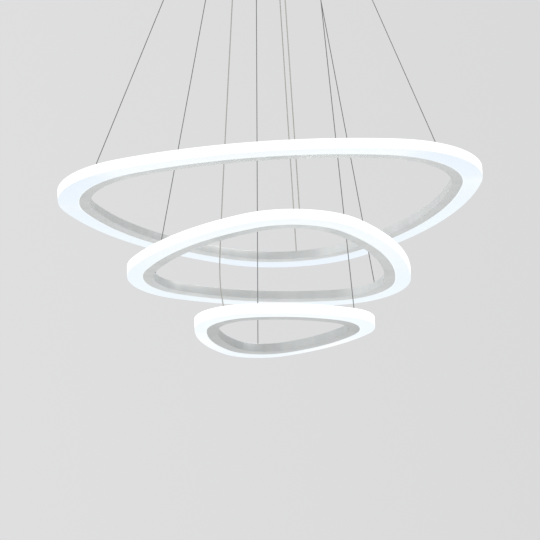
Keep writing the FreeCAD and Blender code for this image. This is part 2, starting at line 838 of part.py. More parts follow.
def make_terminal_screws():
    """The clamp screws of the terminal block."""
    low = canopy_inside_z + terminal_bore_height + terminal_bore_radius
    length = canopy_inside_z + terminal_height - terminal_screw_sunk - low
    return [cylinder(terminal_screw_radius - thread_clearance, length,
                     V(x, terminal_place[1], low)) for x in terminal_way_x()]


def make_earth_terminal():
    """The earth stud through the canopy's floor, its lug and the nut that clamps it."""
    base = V(*earth_place, canopy_inside_z)
    stud = cylinder(earth_stud_radius - thread_clearance, earth_stud_height + canopy_wall,
                    base - UP * canopy_wall)
    hole = cylinder(earth_stud_radius, earth_stud_height, base)
    lug = cylinder(earth_lug_radius, earth_lug_thickness, base)
    tail = block(earth_lug_length, earth_lug_width, earth_lug_thickness,
                 base + V(earth_lug_length / 2.0, 0, 0))
    nut = hexagon(earth_nut_width, earth_nut_height, base + UP * earth_lug_thickness)
    return [stud, lug.fuse(tail).removeSplitter().cut(hole), nut.cut(hole)]


# --------------------------------------------------------------------------------- build
def build_canopy():
    """The pieces that stay with the ceiling."""
    save("ceiling_bracket", [make_bracket()])
    save("canopy_shell", [make_canopy()])
    save("canopy_side_screws", make_side_screws())
    save("terminal_block", [make_terminal_block()])
    save("terminal_screws", make_terminal_screws())
    save("earth_terminal", make_earth_terminal())
    save("driver_screws", make_driver_screws())
    save("driver_output_leads", make_output_leads())
    for name, place in DRIVERS:
        save("driver_" + name, [make_driver(place)])
    places = [p for ring in RINGS for p in exit_points(ring)]
    save("gripper_bodies", [make_gripper(p) for p in places])
    save("gripper_lock_nuts", [make_gripper_nut(p) for p in places])


def build_ring(ring):
    """One ring, its three wires, and the plungers and springs of their grippers."""
    name = ring["name"]
    save_hung("frame", ring, [make_frame(ring)])
    save_hung("diffuser", ring, [make_diffuser(ring)])
    save_hung("led_strip", ring, make_strip(ring))
    save_hung("wire_anchors", ring, make_anchors(ring))
    save_hung("anchor_nuts", ring, make_anchor_nuts(ring))
    save_hung("splice", ring, make_splice(ring))
    for i, letter in enumerate(LETTERS):
        kind = "supply_cable_" if i == ring["supply"] else "suspension_wire_"
        save(kind + name + "_" + letter, [make_wire(ring, i)])
        save("plunger_" + name + "_" + letter, [make_plunger(exit_points(ring)[i])])
        save("plunger_spring_" + name + "_" + letter, [make_spring(exit_points(ring)[i])])


os.makedirs("parts", exist_ok=True)
build_canopy()
for one_ring in RINGS:
    build_ring(one_ring)
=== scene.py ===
import json
import math
import bpy
from mathutils import Matrix, Vector


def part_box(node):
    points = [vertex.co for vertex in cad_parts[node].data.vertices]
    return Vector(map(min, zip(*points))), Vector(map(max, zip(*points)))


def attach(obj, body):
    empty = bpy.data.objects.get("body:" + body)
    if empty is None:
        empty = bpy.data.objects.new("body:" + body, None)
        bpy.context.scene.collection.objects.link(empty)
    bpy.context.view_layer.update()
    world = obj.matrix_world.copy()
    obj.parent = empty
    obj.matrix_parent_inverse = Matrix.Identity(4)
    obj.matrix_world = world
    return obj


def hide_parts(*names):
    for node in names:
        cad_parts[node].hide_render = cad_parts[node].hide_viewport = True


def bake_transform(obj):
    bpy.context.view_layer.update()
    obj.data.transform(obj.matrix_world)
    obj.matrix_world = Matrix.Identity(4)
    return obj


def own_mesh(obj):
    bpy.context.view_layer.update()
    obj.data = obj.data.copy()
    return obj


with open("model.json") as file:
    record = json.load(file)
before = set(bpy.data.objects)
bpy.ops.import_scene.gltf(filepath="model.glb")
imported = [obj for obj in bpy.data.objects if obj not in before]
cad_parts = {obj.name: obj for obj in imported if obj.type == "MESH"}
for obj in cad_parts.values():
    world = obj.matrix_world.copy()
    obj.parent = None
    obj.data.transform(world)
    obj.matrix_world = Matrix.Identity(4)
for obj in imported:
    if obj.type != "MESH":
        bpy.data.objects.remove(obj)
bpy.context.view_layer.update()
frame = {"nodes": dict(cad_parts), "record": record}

# Looks of a pendant light of three lit rounded-triangle rings on thin wires. Metres, +Z up,
# origin at the centre of the canopy on the ceiling plane.

SCENE = bpy.context.scene

# ------------------------------------------------------------------------- ring sizes
# Both outlines of a ring, the cover's outer wall and the metal body's edge, are three corner
# arcs and three flatter side arcs, all tangent. cover: reach of the corner arcs' centres, their
# radius, and reach of the side arcs' centres. bands: the lit band's width at a corner and at a
# side. body_radius: the metal body's corner arcs. heading: where the first corner points, in
# degrees. x, drop: where the ring's centre is, and how far it hangs below its first wire's exit.
# turns: the anchors, from the first corner. supply: which wire is the supply cable. tilt: how
# far the ring hangs out of level, and the heading towards which it rises.
RINGS = {
    "big": dict(cover=(0.2018, 0.1982, 0.4083), bands=(0.0390, 0.0281), body_radius=0.1873,
                heading=84.3, x=-0.0082, drop=0.5400, turns=(0.0, 120.0, 240.0), supply=0,
                tilt=(0.0, 0.0)),
    "middle": dict(cover=(0.1238, 0.1491, 0.2999), bands=(0.0279, 0.0253), body_radius=0.1197,
                   heading=281.5, x=-0.0130, drop=0.6523, turns=(-0.8, 119.9, 236.4), supply=0,
                   tilt=(2.6, 236.5)),
    "small": dict(cover=(0.0846, 0.0875, 0.1871), bands=(0.0272, 0.0196), body_radius=0.0820,
                  heading=106.9, x=-0.0133, drop=0.7734, turns=(-0.8, 121.0, 245.5), supply=1,
                  tilt=(0.0, 0.0)),
}
# The small ring's supply cable is a little slack: where it leaves its straight line, as
# (above its anchor, sideways).
LEANS = {"supply_cable_small_b": ((0.118, -0.0119), (0.046, -0.0089))}
LETTERS = ("a", "b", "c")
FLANGE = 0.0193
METAL_WALL = 0.0015
METAL_HEIGHT = 0.0152
DIFFUSER_WALL = 0.0020
DIFFUSER_HEIGHT = 0.0190
DIFFUSER_GAP = 0.0002
HOOK_REACH = 0.0015
HOOK_HEIGHT = 0.0014
LEDGE_REACH = 0.0012
LEDGE_HEIGHT = 0.0008
ANCHOR_HEAD = 0.0024
STRAIGHT_ABOVE_ANCHOR = 0.0024
ANCHOR_FROM_RIB = 0.0049
WIRE_RADIUS = 0.00075
SUPPLY_RADIUS = 0.0010
EXIT_BELOW_PLUNGER = 0.0050
GRIPPER_TOP = -0.0360
SPRING_WIRE = 0.0005
SPRING_TURNS = 6
# Rounding radii of the sections' edges.
COVER_EDGE_ROUNDING = 0.0008
COVER_FOOT_ROUNDING = 0.00015
COVER_TOP_ROUNDING = 0.0006
HOOK_ROUNDING = 0.0003
LEDGE_FOOT_ROUNDING = 0.0002
LEDGE_TOP_ROUNDING = 0.0001
FLANGE_ROUNDING = 0.0005

# ------------------------------------------------------------------ how finely it is drawn
# POINT_FROM_EDGE: how far a wire's added points stand from a bend, in wire diameters.
# STRAIGHT_ANGLE: a wire's point that turns it by less than this, in radians, is left out.
# ANGLE_SLACK: how far outside an arc a heading may fall, in degrees.
POINT_FROM_EDGE = 6.0
LINE_STEPS = 8
STRAIGHT_ANGLE = 1e-4
WIRE_SIDES = 12
SPRING_SIDES = 8
SPRING_STEPS = 20
STATION_SPACING = 0.006
ROUNDING_STEPS = 3
SHARP_TURN = math.radians(24.0)
ANGLE_SLACK = 1e-6

# --------------------------------------------------------------------------- the view
CAMERA_PLACE = Vector((-0.0082, -4.88992, -2.08067))
CAMERA_PITCH = 0.27049
CAMERA_YAW = -0.00315
CAMERA_ROLL = -0.04208
CAMERA_LENS = 190.68
SENSOR = 36.0
CAMERA_REACH = 50.0


def add_camera():
    """The photograph's viewpoint: from below, slightly rolled, through a long lens."""
    forward = Vector((math.sin(CAMERA_YAW) * math.cos(CAMERA_PITCH),
                      math.cos(CAMERA_YAW) * math.cos(CAMERA_PITCH), math.sin(CAMERA_PITCH)))
    level = Vector((math.cos(CAMERA_YAW), -math.sin(CAMERA_YAW), 0.0))
    upright = level.cross(forward)
    right = level * math.cos(CAMERA_ROLL) + upright * math.sin(CAMERA_ROLL)
    up = upright * math.cos(CAMERA_ROLL) - level * math.sin(CAMERA_ROLL)
    data = bpy.data.cameras.new("photo_camera")
    data.lens = CAMERA_LENS
    data.sensor_width = SENSOR
    data.clip_end = CAMERA_REACH
    camera = bpy.data.objects.new("photo_camera", data)
    turn = Matrix((right, up, -forward)).transposed()
    camera.matrix_world = Matrix.Translation(CAMERA_PLACE) @ turn.to_4x4()
    SCENE.collection.objects.link(camera)
    SCENE.camera = camera


# ---------------------------------------------------------------------- ring outlines
def polar(radius, degrees):
    """The level vector of that length and heading."""
    a = math.radians(degrees)
    return Vector((radius * math.cos(a), radius * math.sin(a), 0.0))


def side_extent(line):
    """From the ring's axis to the middle of an outline's side."""
    reach, radius, side = line
    return radius + math.sqrt(reach * reach + side * side + reach * side) - side


def ring_lines(name):
    """The cover's and the metal body's outlines."""
    ring = RINGS[name]
    cover, radius = ring["cover"], ring["body_radius"]
    corner_band, side_band = ring["bands"]
    reach = cover[0] + cover[1] - corner_band - radius
    rise = side_extent(cover) - side_band - radius
    body = (reach, radius, (reach * reach - rise * rise) / (2.0 * rise - reach))
    return {"cover": cover, "body": body}


def line_arcs(line, first_heading):
    """(centre, radius, from heading, to heading) of an outline's six arcs."""
    reach, radius, side = line
    half_side = math.degrees(math.atan2(reach * math.sqrt(3.0) / 2.0, reach / 2.0 + side))
    half_corner = 60.0 - half_side
    arcs = []
    for corner in range(3):
        heading = first_heading + 120.0 * corner
        facing = heading + 60.0
        arcs.append((polar(reach, heading), radius, heading - half_corner, heading + half_corner))
        arcs.append((polar(side, facing + 180.0), side_extent(line) + side,
                     facing - half_side, facing + half_side))
    return arcs


def exit_place(name, index):
    """Where a wire leaves its gripper."""
    low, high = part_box("plunger_" + name + "_" + LETTERS[index])
    return Vector(((low.x + high.x) / 2.0, (low.y + high.y) / 2.0, low.z - EXIT_BELOW_PLUNGER))


def hanging(name):
    """The transform from a ring's own level frame to where it hangs."""
    ring = RINGS[name]
    angle, rising = ring["tilt"]
    base = Vector((ring["x"], 0.0, exit_place(name, 0).z - ring["drop"]))
    turn = Matrix.Rotation(math.radians(angle), 4, polar(1.0, rising - 90.0))
    return Matrix.Translation(base) @ turn


def ring_point(name, edge, offset, turn):
    """The level point of that outline, moved by offset, at that turn from the first corner."""
    heading = RINGS[name]["heading"]
    aim = polar(1.0, heading + turn)
    for centre, radius, start, end in line_arcs(ring_lines(name)[edge], heading):
        along = centre.dot(aim)
        root = along * along - centre.dot(centre) + (radius + offset) ** 2
        if root < 0.0:
            continue
        out = aim * (along + math.sqrt(root))
        facing = math.degrees(math.atan2(out.y - centre.y, out.x - centre.x))
        if (facing - start + ANGLE_SLACK) % 360.0 <= end - start + 2.0 * ANGLE_SLACK:
            return out
    raise ValueError("no arc of the ring lies at that heading")


# ------------------------------------------------------------------------------ wires
def wire_route(name, index, leans):
    """A wire's route: in its gripper, at its exit, any leans, above its anchor and in it."""
    exit_point = exit_place(name, index)
    offset = -LEDGE_REACH - METAL_WALL - ANCHOR_FROM_RIB
    foot = ring_point(name, "body", offset, RINGS[name]["turns"][index])
    hung = hanging(name)
    bend_height = METAL_HEIGHT + ANCHOR_HEAD + STRAIGHT_ABOVE_ANCHOR
    bend = hung @ (foot + Vector((0.0, 0.0, bend_height)))
    end = hung @ (foot + Vector((0.0, 0.0, METAL_HEIGHT - METAL_WALL)))
    run = (bend - exit_point).normalized()
    slack = [bend - run * above + Vector((sideways, 0.0, 0.0)) for above, sideways in leans]
    top = Vector((exit_point.x, exit_point.y, GRIPPER_TOP))
    return [top, exit_point, *slack, bend, end]


def smooth_line(route, radius):
    """The points of the route's smooth line, with its long straight stretches left straight."""
    top, exit_point, *slack, bend, end = route
    near = 2.0 * radius * POINT_FROM_EDGE
    leaving = (route[2] - exit_point).normalized()
    arriving = (bend - route[-3]).normalized()
    controls = [top, exit_point + Vector((0.0, 0.0, near)), exit_point,
                exit_point + leaving * near, *slack, bend - arriving * near, bend, end]
    data = bpy.data.curves.new("route", "CURVE")
    data.dimensions = "3D"
    data.resolution_u = LINE_STEPS
    spline = data.splines.new("NURBS")
    spline.points.add(len(controls) - 1)
    for control, place in zip(spline.points, controls):
        control.co = (*place, 1.0)
    spline.order_u = 3
    spline.use_endpoint_u = True
    holder = bpy.data.objects.new("route", data)
    mesh = bpy.data.meshes.new_from_object(holder)
    points = [v.co.copy() for v in mesh.vertices]
    bpy.data.objects.remove(holder)
    bpy.data.curves.remove(data)
    bpy.data.meshes.remove(mesh)
    kept = points[:1]
    for point, after in zip(points[1:], points[2:]):
        if (point - kept[-1]).angle(after - point, 0.0) > STRAIGHT_ANGLE:
            kept.append(point)
    return kept + points[-1:]


def new_piece(name, verts, faces, uvs):
    """A piece with that mesh, a UV map given face by face, and smooth four-sided faces."""
    mesh = bpy.data.meshes.new(name)
    mesh.from_pydata([tuple(v) for v in verts], [], faces)
    layer = mesh.uv_layers.new(name="UVMap")
    for polygon, corners in zip(mesh.polygons, uvs):
        polygon.use_smooth = len(corners) == 4
        for loop, uv in zip(polygon.loop_indices, corners):
            layer.data[loop].uv = uv
    piece = bpy.data.objects.new(name, mesh)
    SCENE.collection.objects.link(piece)
    return piece


def tube_mesh(name, points, radius, sides, across=None):
    """A round tube whose rings of vertices stand at the points, with closed ends and a UV map.

    across: for each point, the direction of its ring's first vertex. UVMap: share of the way
    round, metres along.
    """
    verts, faces, uvs = [], [], []
    travelled = 0.0
    lengths = []
    for i, point in enumerate(points):
        before = points[max(i - 1, 0)]
        after = points[min(i + 1, len(points) - 1)]
        along = (after - before).normalized()
        side = across[i] if across else along.cross(Vector((0.0, 1.0, 0.0))).normalized()
        other = along.cross(side)
        travelled += (point - before).length
        lengths.append(travelled)
        for s in range(sides):
            angle = 2.0 * math.pi * s / sides
            verts.append(point + side * radius * math.cos(angle) + other * radius * math.sin(angle))
    for i in range(len(points) - 1):
        for s in range(sides):
            t = (s + 1) % sides
            faces.append((i * sides + s, i * sides + t, (i + 1) * sides + t, (i + 1) * sides + s))
            uvs.append(((s / sides, lengths[i]), ((s + 1) / sides, lengths[i]),
                        ((s + 1) / sides, lengths[i + 1]), (s / sides, lengths[i + 1])))
    faces.append(tuple(range(sides - 1, -1, -1)))
    uvs.append(tuple((0.0, 0.0) for _ in range(sides)))
    last = (len(points) - 1) * sides
    faces.append(tuple(range(last, last + sides)))
    uvs.append(tuple((0.0, travelled) for _ in range(sides)))
    return new_piece(name, verts, faces, uvs)


def add_wires(materials):
    """The nine wires from the grippers to the rings."""
    for name in RINGS:
        for index, letter in enumerate(LETTERS):
            is_supply = index == RINGS[name]["supply"]
            wire = ("supply_cable_" if is_supply else "suspension_wire_") + name + "_" + letter
            route = wire_route(name, index, LEANS.get(wire, ()))
            radius = SUPPLY_RADIUS if is_supply else WIRE_RADIUS
            line = smooth_line(route, radius)
            piece = tube_mesh("drawn_" + wire, line, radius, WIRE_SIDES)
            slot = "cable_sheath" if is_supply else "steel_wire"
            piece.data.materials.append(materials[slot])
            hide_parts(wire)
            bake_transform(piece)


def add_springs(materials):
    """The plungers' return springs, drawn as coils that fill the springs' places."""
    for name in RINGS:
        for letter in LETTERS:
            line = name + "_" + letter
            low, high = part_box("plunger_spring_" + line)
            axis = Vector(((low.x + high.x) / 2.0, (low.y + high.y) / 2.0, 0.0))
            radius = SPRING_WIRE / 2.0
            coil = (high.x - low.x) / 2.0 - radius
            rise = high.z - low.z - 2.0 * radius
            count = SPRING_TURNS * SPRING_STEPS
            across = [polar(1.0, 360.0 * i / SPRING_STEPS) for i in range(count + 1)]
            points = [axis + out * coil + Vector((0.0, 0.0, low.z + radius + rise * i / count))
                      for i, out in enumerate(across)]
            piece = tube_mesh("drawn_plunger_spring_" + line, points, radius, SPRING_SIDES, across)
            piece.data.materials.append(materials["spring_steel"])
            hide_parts("plunger_spring_" + line)
            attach(piece, "canopy")
            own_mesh(piece)


# ------------------------------------------------------------------------------ rings
def rounded(corners, band):
    """A section's (edge, offset, height) points from (edge, offset, height, rounding radius)."""
    def flat(corner):
        return Vector((corner[1] - (band if corner[0] == "body" else 0.0), corner[2]))

    section = []
    for i, corner in enumerate(corners):
        edge, offset, height, radius = corner
        if radius == 0.0:
            section.append((edge, offset, height))
            continue
        place = flat(corner)
        before = (flat(corners[i - 1]) - place).normalized()
        after = (flat(corners[(i + 1) % len(corners)]) - place).normalized()
        half = before.angle(after) / 2.0
        centre = place + (before + after).normalized() * radius / math.sin(half)
        first = place + before * radius / math.tan(half) - centre
        last = place + after * radius / math.tan(half) - centre
        turn = first.angle_signed(last)
        for k in range(ROUNDING_STEPS + 1):
            a = -turn * k / ROUNDING_STEPS
            spot = centre + Vector((first.x * math.cos(a) - first.y * math.sin(a),
                                    first.x * math.sin(a) + first.y * math.cos(a)))
            section.append((edge, offset + spot.x - place.x, spot.y))
    return section


def on_arc(arc, offset):
    """The level point at an arc's heading, moved outwards by offset."""
    centre, radius, heading = arc
    return centre + polar(radius + offset, heading)


def stations(name):
    """Round the ring: each outline's (arc centre, radius, heading) and the way travelled."""
    heading = RINGS[name]["heading"]
    arcs = {edge: line_arcs(line, heading) for edge, line in ring_lines(name).items()}
    found = []
    travelled = 0.0
    for k in range(6):
        _, radius, start, end = arcs["cover"][k]
        length = math.radians(end - start) * radius
        count = max(2, math.ceil(length / STATION_SPACING))
        for i in range(count):
            share = i / count
            place = {}
            for edge in arcs:
                centre, arc_radius, first, last = arcs[edge][k]
                place[edge] = (centre, arc_radius, first + (last - first) * share)
            found.append((place, travelled + length * share))
        travelled += length
    return found, travelled


def swept(piece_name, name, section, band):
    """A closed ring with that section.

    UVMap: metres along the wall, metres round the section. band: metres inwards from the
    cover's outer wall less metres up it, metres outwards from the metal body's edge.
    """
    places, total = stations(name)
    hung = hanging(name)
    count = len(section)
    verts = []
    depths = []
    for place, _ in places:
        width = (on_arc(place["cover"], 0.0) - on_arc(place["body"], 0.0)).length
        for edge, offset, height in section:
            spot = on_arc(place[edge], offset) + Vector((0.0, 0.0, height))
            verts.append(hung @ spot)
            outwards = offset if edge == "body" else width + offset
            depths.append((width - outwards - height, outwards))
    around = [0.0]
    for k in range(count):
        (edge_a, offset_a, low), (edge_b, offset_b, high) = section[k], section[(k + 1) % count]
        across = offset_b - offset_a
        if edge_a != edge_b:
            across += band if edge_a == "body" else -band
        around.append(around[-1] + math.hypot(across, high - low))
    faces, uvs = [], []
    for i, (_, u0) in enumerate(places):
        j = (i + 1) % len(places)
        u1 = places[j][1] if j else total
        for k in range(count):
            n = (k + 1) % count
            faces.append((i * count + k, j * count + k, j * count + n, i * count + n))
            uvs.append(((u0, around[k]), (u1, around[k]), (u1, around[k + 1]), (u0, around[k + 1])))
    piece = new_piece(piece_name, verts, faces, uvs)
    layer = piece.data.uv_layers.new(name="band")
    for loop in piece.data.loops:
        layer.data[loop.index].uv = depths[loop.vertex_index]
    mark_sharp(piece.data)
    return piece


def mark_sharp(mesh):
    """Marks the edges where the surface turns by more than SHARP_TURN."""
    normals = {}
    for polygon in mesh.polygons:
        for key in polygon.edge_keys:
            normals.setdefault(key, []).append(polygon.normal.copy())
    sharp = mesh.attributes.new("sharp_edge", "BOOLEAN", "EDGE")
    for edge in mesh.edges:
        pair = normals.get(tuple(sorted(edge.vertices)), [])
        sharp.data[edge.index].value = len(pair) == 2 and pair[0].angle(pair[1], 0.0) > SHARP_TURN


def diffuser_section(band):
    """The milky cover's section: lit wall, lit band, hook over the metal top, ledge rebate."""
    rebate = DIFFUSER_GAP
    inner = DIFFUSER_GAP - LEDGE_REACH
    step = LEDGE_HEIGHT + DIFFUSER_GAP
    hook = -DIFFUSER_WALL - DIFFUSER_GAP - HOOK_REACH
    hook_top = METAL_HEIGHT + HOOK_HEIGHT
    return rounded([
        ("cover", 0.0, 0.0, COVER_EDGE_ROUNDING), ("body", rebate, 0.0, COVER_FOOT_ROUNDING),
        ("body", rebate, step, 0.0), ("body", inner, step, 0.0),
        ("body", inner, DIFFUSER_WALL, 0.0), ("cover", -DIFFUSER_WALL, DIFFUSER_WALL, 0.0),
        ("cover", -DIFFUSER_WALL, METAL_HEIGHT, 0.0), ("cover", hook, METAL_HEIGHT, 0.0),
        ("cover", hook, hook_top, HOOK_ROUNDING), ("cover", -DIFFUSER_WALL, hook_top, 0.0),
        ("cover", -DIFFUSER_WALL, DIFFUSER_HEIGHT, COVER_TOP_ROUNDING),
        ("cover", 0.0, DIFFUSER_HEIGHT, COVER_TOP_ROUNDING)], band)


def frame_section(band):
    """The metal body's outer section: ledge, flange, inner wall, top plate, rib."""
    rib = -LEDGE_REACH
    under_plate = METAL_HEIGHT - METAL_WALL
    return rounded([
        ("body", 0.0, 0.0, LEDGE_FOOT_ROUNDING), ("body", -FLANGE, 0.0, FLANGE_ROUNDING),
        ("body", -FLANGE, METAL_HEIGHT, FLANGE_ROUNDING),
        ("cover", -DIFFUSER_WALL - DIFFUSER_GAP, METAL_HEIGHT, 0.0),
        ("cover", -DIFFUSER_WALL - DIFFUSER_GAP, under_plate, 0.0),
        ("body", rib, under_plate, 0.0), ("body", rib, LEDGE_HEIGHT, 0.0),
        ("body", 0.0, LEDGE_HEIGHT, LEDGE_TOP_ROUNDING)], band)


def add_rings(materials):
    """The finished metal bodies and milky covers."""
    for name, ring in RINGS.items():
        band = ring["bands"][1]
        for kind, section, slot in (("frame", frame_section(band), "satin_aluminium"),
                                    ("diffuser", diffuser_section(band), "opal_acrylic")):
            piece = swept("drawn_" + kind + "_" + name, name, section, band)
            piece.data.materials.append(materials[slot])
            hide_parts(kind + "_" + name)
            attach(piece, "ring_" + name)


# -------------------------------------------------------------------------- materials
# The cover's own light: on its wall, along the metal's edge, and on the band, which is cooler
# where it is wider, and whiter on the near side, where y is below NEAR_FADE, but not in the
# widest corners, past WIDE_SHARE. Shares run from the narrowest band to the widest.
# BAND_GLOW: (share, colour).
WALL_GLOW = (1.0, 1.0, 1.0)
EDGE_GLOW = (0.70, 0.75, 0.76)
BAND_GLOW = ((0.0, (0.70, 0.72, 0.72)), (0.28, (0.64, 0.69, 0.73)), (0.44, (0.61, 0.68, 0.725)),
             (1.0, (0.575, 0.64, 0.715)))
NEAR_GLOW = (0.665, 0.712, 0.728)
NEAR_FADE = (-0.16, 0.02)
WIDE_SHARE = (0.86, 0.98)
NARROWEST_BAND = 0.0196
WIDEST_BAND = 0.0390
EDGE_FADE = 0.0030
WALL_FADE = (-0.0040, 0.0010)
# The cover's own colour, dark and light, under its light.
OPAL_TONES = ((0.27, 0.28, 0.28), (0.30, 0.30, 0.30))
OPAL_MOTTLE = 60.0
OPAL_ROUGHNESS = (0.40, 0.48)
OPAL_IOR = 1.49
# The metal. DRAWN_LINES, METAL_PATCHES: how often its drawing lines and tone patches change,
# per metre along the wall and round the section. DRAWN_SPREAD, DRAWN_TURN: how far the lines
# spread reflections, and in which direction, as a share of a turn.
METAL_TONES = ((0.837, 0.861, 0.851), (0.912, 0.933, 0.924))
METAL_ROUGHNESS = (0.42, 0.48)
DRAWN_LINES = (6.0, 5200.0, 1.0)
METAL_PATCHES = (22.0, 4.0, 1.0)
DRAWN_SPREAD = 0.85
DRAWN_TURN = 0.25
# Painted shade: the lowest ring's metal is painted a darker grey, as it gets no light from rings
# below it: between these heights, by this much.
PAINTED_SHADE_HEIGHTS = (-0.80, -0.76)
LOWEST_RING_PAINTED_SHADE = 0.86
# The steel wire. STRANDS_PER_METRE, STRANDS_AROUND: how many strands pass along a metre of it
# and round it. Its colour runs from the grooves between strands to their crests: the darker
# grooves are painted shade.
STEEL_TONES_WITH_GROOVE_SHADE = ((0.0, (0.25, 0.25, 0.245)), (0.6, (0.32, 0.32, 0.315)))
STEEL_ROUGHNESS = 0.55
STRANDS_PER_METRE = 120.0
STRANDS_AROUND = 7.0
# Where a mottled colour's dark and light ends lie in its noise, and each bump's (strength,
# depth in metres).
MOTTLE_ENDS = (0.3, 0.7)
LINE_BUMP = (0.05, 0.00003)
WAVE_BUMP = (0.1, 0.0004)
STRAND_BUMP = (0.35, 0.00010)
GRAIN_BUMP = (0.4, 0.00002)
# The plain surfaces: their noises' scales, and how far their roughness varies.
CLOUD_SCALE = 35.0
UNEVEN_SCALE = 160.0
GRAIN_SCALE = 900.0
UNEVEN_ROUGHNESS = (0.85, 1.2)
PLAIN_LOOKS = {
    "light_strip": dict(colour=(0.90, 0.88, 0.74), roughness=0.5),
    "cable_sheath": dict(colour=(0.58, 0.57, 0.52), roughness=0.5),
    "canopy_paint": dict(colour=(0.74, 0.74, 0.74), roughness=0.35, mottle=0.02),
    "zinc_plated_steel": dict(colour=(0.60, 0.61, 0.63), roughness=0.35, metallic=1.0, mottle=0.18),
    "nickel_plated": dict(colour=(0.70, 0.69, 0.66), roughness=0.22, metallic=1.0),
    "spring_steel": dict(colour=(0.5, 0.5, 0.5), roughness=0.3, metallic=1.0),
    "terminal_plastic": dict(colour=(0.80, 0.80, 0.76), roughness=0.45),
    "driver_plastic": dict(colour=(0.80, 0.80, 0.80), roughness=0.5),
    "earth_brass": dict(colour=(0.68, 0.52, 0.24), roughness=0.3, metallic=1.0),
}


def new_material(name):
    """A new material and its principled shader."""
    material = bpy.data.materials.new(name)
    material.use_nodes = True
    return material, material.node_tree.nodes["Principled BSDF"]


def node(material, kind, inputs=(), **settings):
    """Adds a node, sets its properties and links or fills its inputs."""
    made = material.node_tree.nodes.new("ShaderNode" + kind)
    for key, value in settings.items():
        setattr(made, key, value)
    for socket, value in dict(inputs).items():
        if isinstance(value, bpy.types.NodeSocket):
            material.node_tree.links.new(value, made.inputs[socket])
        else:
            made.inputs[socket].default_value = value
    return made


def link(material, output, socket):
    """Wires an output to an input."""
    material.node_tree.links.new(output, socket)


def surface_uv(material):
    """The piece's own UV map."""
    return node(material, "UVMap", uv_map="UVMap").outputs["UV"]


def coordinate(material, axis):
    """The object's own coordinate along that axis, in metres."""
    place = node(material, "TexCoord").outputs["Object"]
    return node(material, "SeparateXYZ", {"Vector": place}).outputs[axis]


def worked_out(material, operation, first, second=0.0):
    """The result of that operation on one or two values."""
    return node(material, "Math", {0: first, 1: second}, operation=operation).outputs[0]


def noise(material, scale, detail=4.0, stretch=(1.0, 1.0, 1.0), source=None):
    """Noise over the object's own coordinates or the source's, stretched along its axes."""
    source = source or node(material, "TexCoord").outputs["Object"]
    mapping = node(material, "Mapping", {"Vector": source, "Scale": stretch})
    return node(material, "TexNoise", {"Vector": mapping.outputs["Vector"], "Scale": scale,
                                       "Detail": detail}).outputs["Fac"]


def ramp(material, fac, *stops):
    """A colour ramp with stops of (position, colour)."""
    made = node(material, "ValToRGB", {"Fac": fac})
    elements = made.color_ramp.elements
    while len(elements) < len(stops):
        elements.new(0.5)
    for element, (position, colour) in zip(elements, stops):
        element.position = position
        element.color = (*colour, 1.0)
    return made.outputs["Color"]


def mottled(material, fac, dark, light):
    """A colour that drifts between the dark and the light one."""
    return ramp(material, fac, *zip(MOTTLE_ENDS, (dark, light)))


def between(material, fac, low, high):
    """A value that runs from low to high as fac runs from 0 to 1."""
    return node(material, "MapRange", {"Value": fac, "To Min": low, "To Max": high}).outputs["Result"]


def smooth_step(material, value, low, high):
    """A value that eases from 0 to 1 as the given one runs from low to high."""
    made = node(material, "MapRange", {"Value": value, "From Min": low, "From Max": high},
                interpolation_type="SMOOTHSTEP")
    return made.outputs["Result"]


def mixed(material, fac, colour, output):
    """The plain colour where fac is 0, the output's colour where it is 1."""
    made = node(material, "Mix", {"Factor": fac}, data_type="RGBA")
    made.inputs["A"].default_value = (*colour, 1.0)
    link(material, output, made.inputs["B"])
    return made.outputs["Result"]


def bump(material, height, relief, **under):
    """A bump normal from a height and its (strength, depth), over the Normal if one is given."""
    strength, depth = relief
    return node(material, "Bump", {"Height": height, "Strength": strength, "Distance": depth,
                                   **under}).outputs["Normal"]


def plain(name, colour, roughness, metallic=0.0, mottle=0.06):
    """A surface with a slightly mottled colour, uneven roughness and a fine grain."""
    material, shader = new_material(name)
    dark = tuple(c * (1.0 - mottle) for c in colour)
    link(material, mottled(material, noise(material, CLOUD_SCALE), dark, colour),
         shader.inputs["Base Color"])
    smooth, rough = (roughness * share for share in UNEVEN_ROUGHNESS)
    link(material, between(material, noise(material, UNEVEN_SCALE), smooth, rough),
         shader.inputs["Roughness"])
    shader.inputs["Metallic"].default_value = metallic
    grain = noise(material, GRAIN_SCALE, detail=2.0)
    link(material, bump(material, grain, GRAIN_BUMP), shader.inputs["Normal"])
    return material


def satin_aluminium():
    """Anodised extruded aluminium: fine drawing lines along the profile, soft tone patches,
    and painted shade that darkens the lowest ring.
    """
    material, shader = new_material("satin_aluminium")
    lines = noise(material, 1.0, detail=3.0, stretch=DRAWN_LINES, source=surface_uv(material))
    patches = noise(material, 1.0, detail=2.0, stretch=METAL_PATCHES, source=surface_uv(material))
    tone = mottled(material, patches, *METAL_TONES)
    # Painted shade: the lowest ring's metal is darkened, as it gets no light from rings below it.
    above_lowest = smooth_step(material, coordinate(material, "Z"), *PAINTED_SHADE_HEIGHTS)
    painted_shade = between(material, above_lowest, LOWEST_RING_PAINTED_SHADE, 1.0)
    painted_shade_tone = node(material, "VectorMath", {0: tone, "Scale": painted_shade}, operation="SCALE")
    link(material, painted_shade_tone.outputs["Vector"], shader.inputs["Base Color"])
    shader.inputs["Metallic"].default_value = 1.0
    link(material, between(material, lines, *METAL_ROUGHNESS), shader.inputs["Roughness"])
    shader.inputs["Anisotropic"].default_value = DRAWN_SPREAD
    shader.inputs["Anisotropic Rotation"].default_value = DRAWN_TURN
    along = node(material, "Tangent", direction_type="UV_MAP", uv_map="UVMap")
    link(material, along.outputs["Tangent"], shader.inputs["Tangent"])
    fine = bump(material, lines, LINE_BUMP)
    link(material, bump(material, patches, WAVE_BUMP, Normal=fine), shader.inputs["Normal"])
    return material


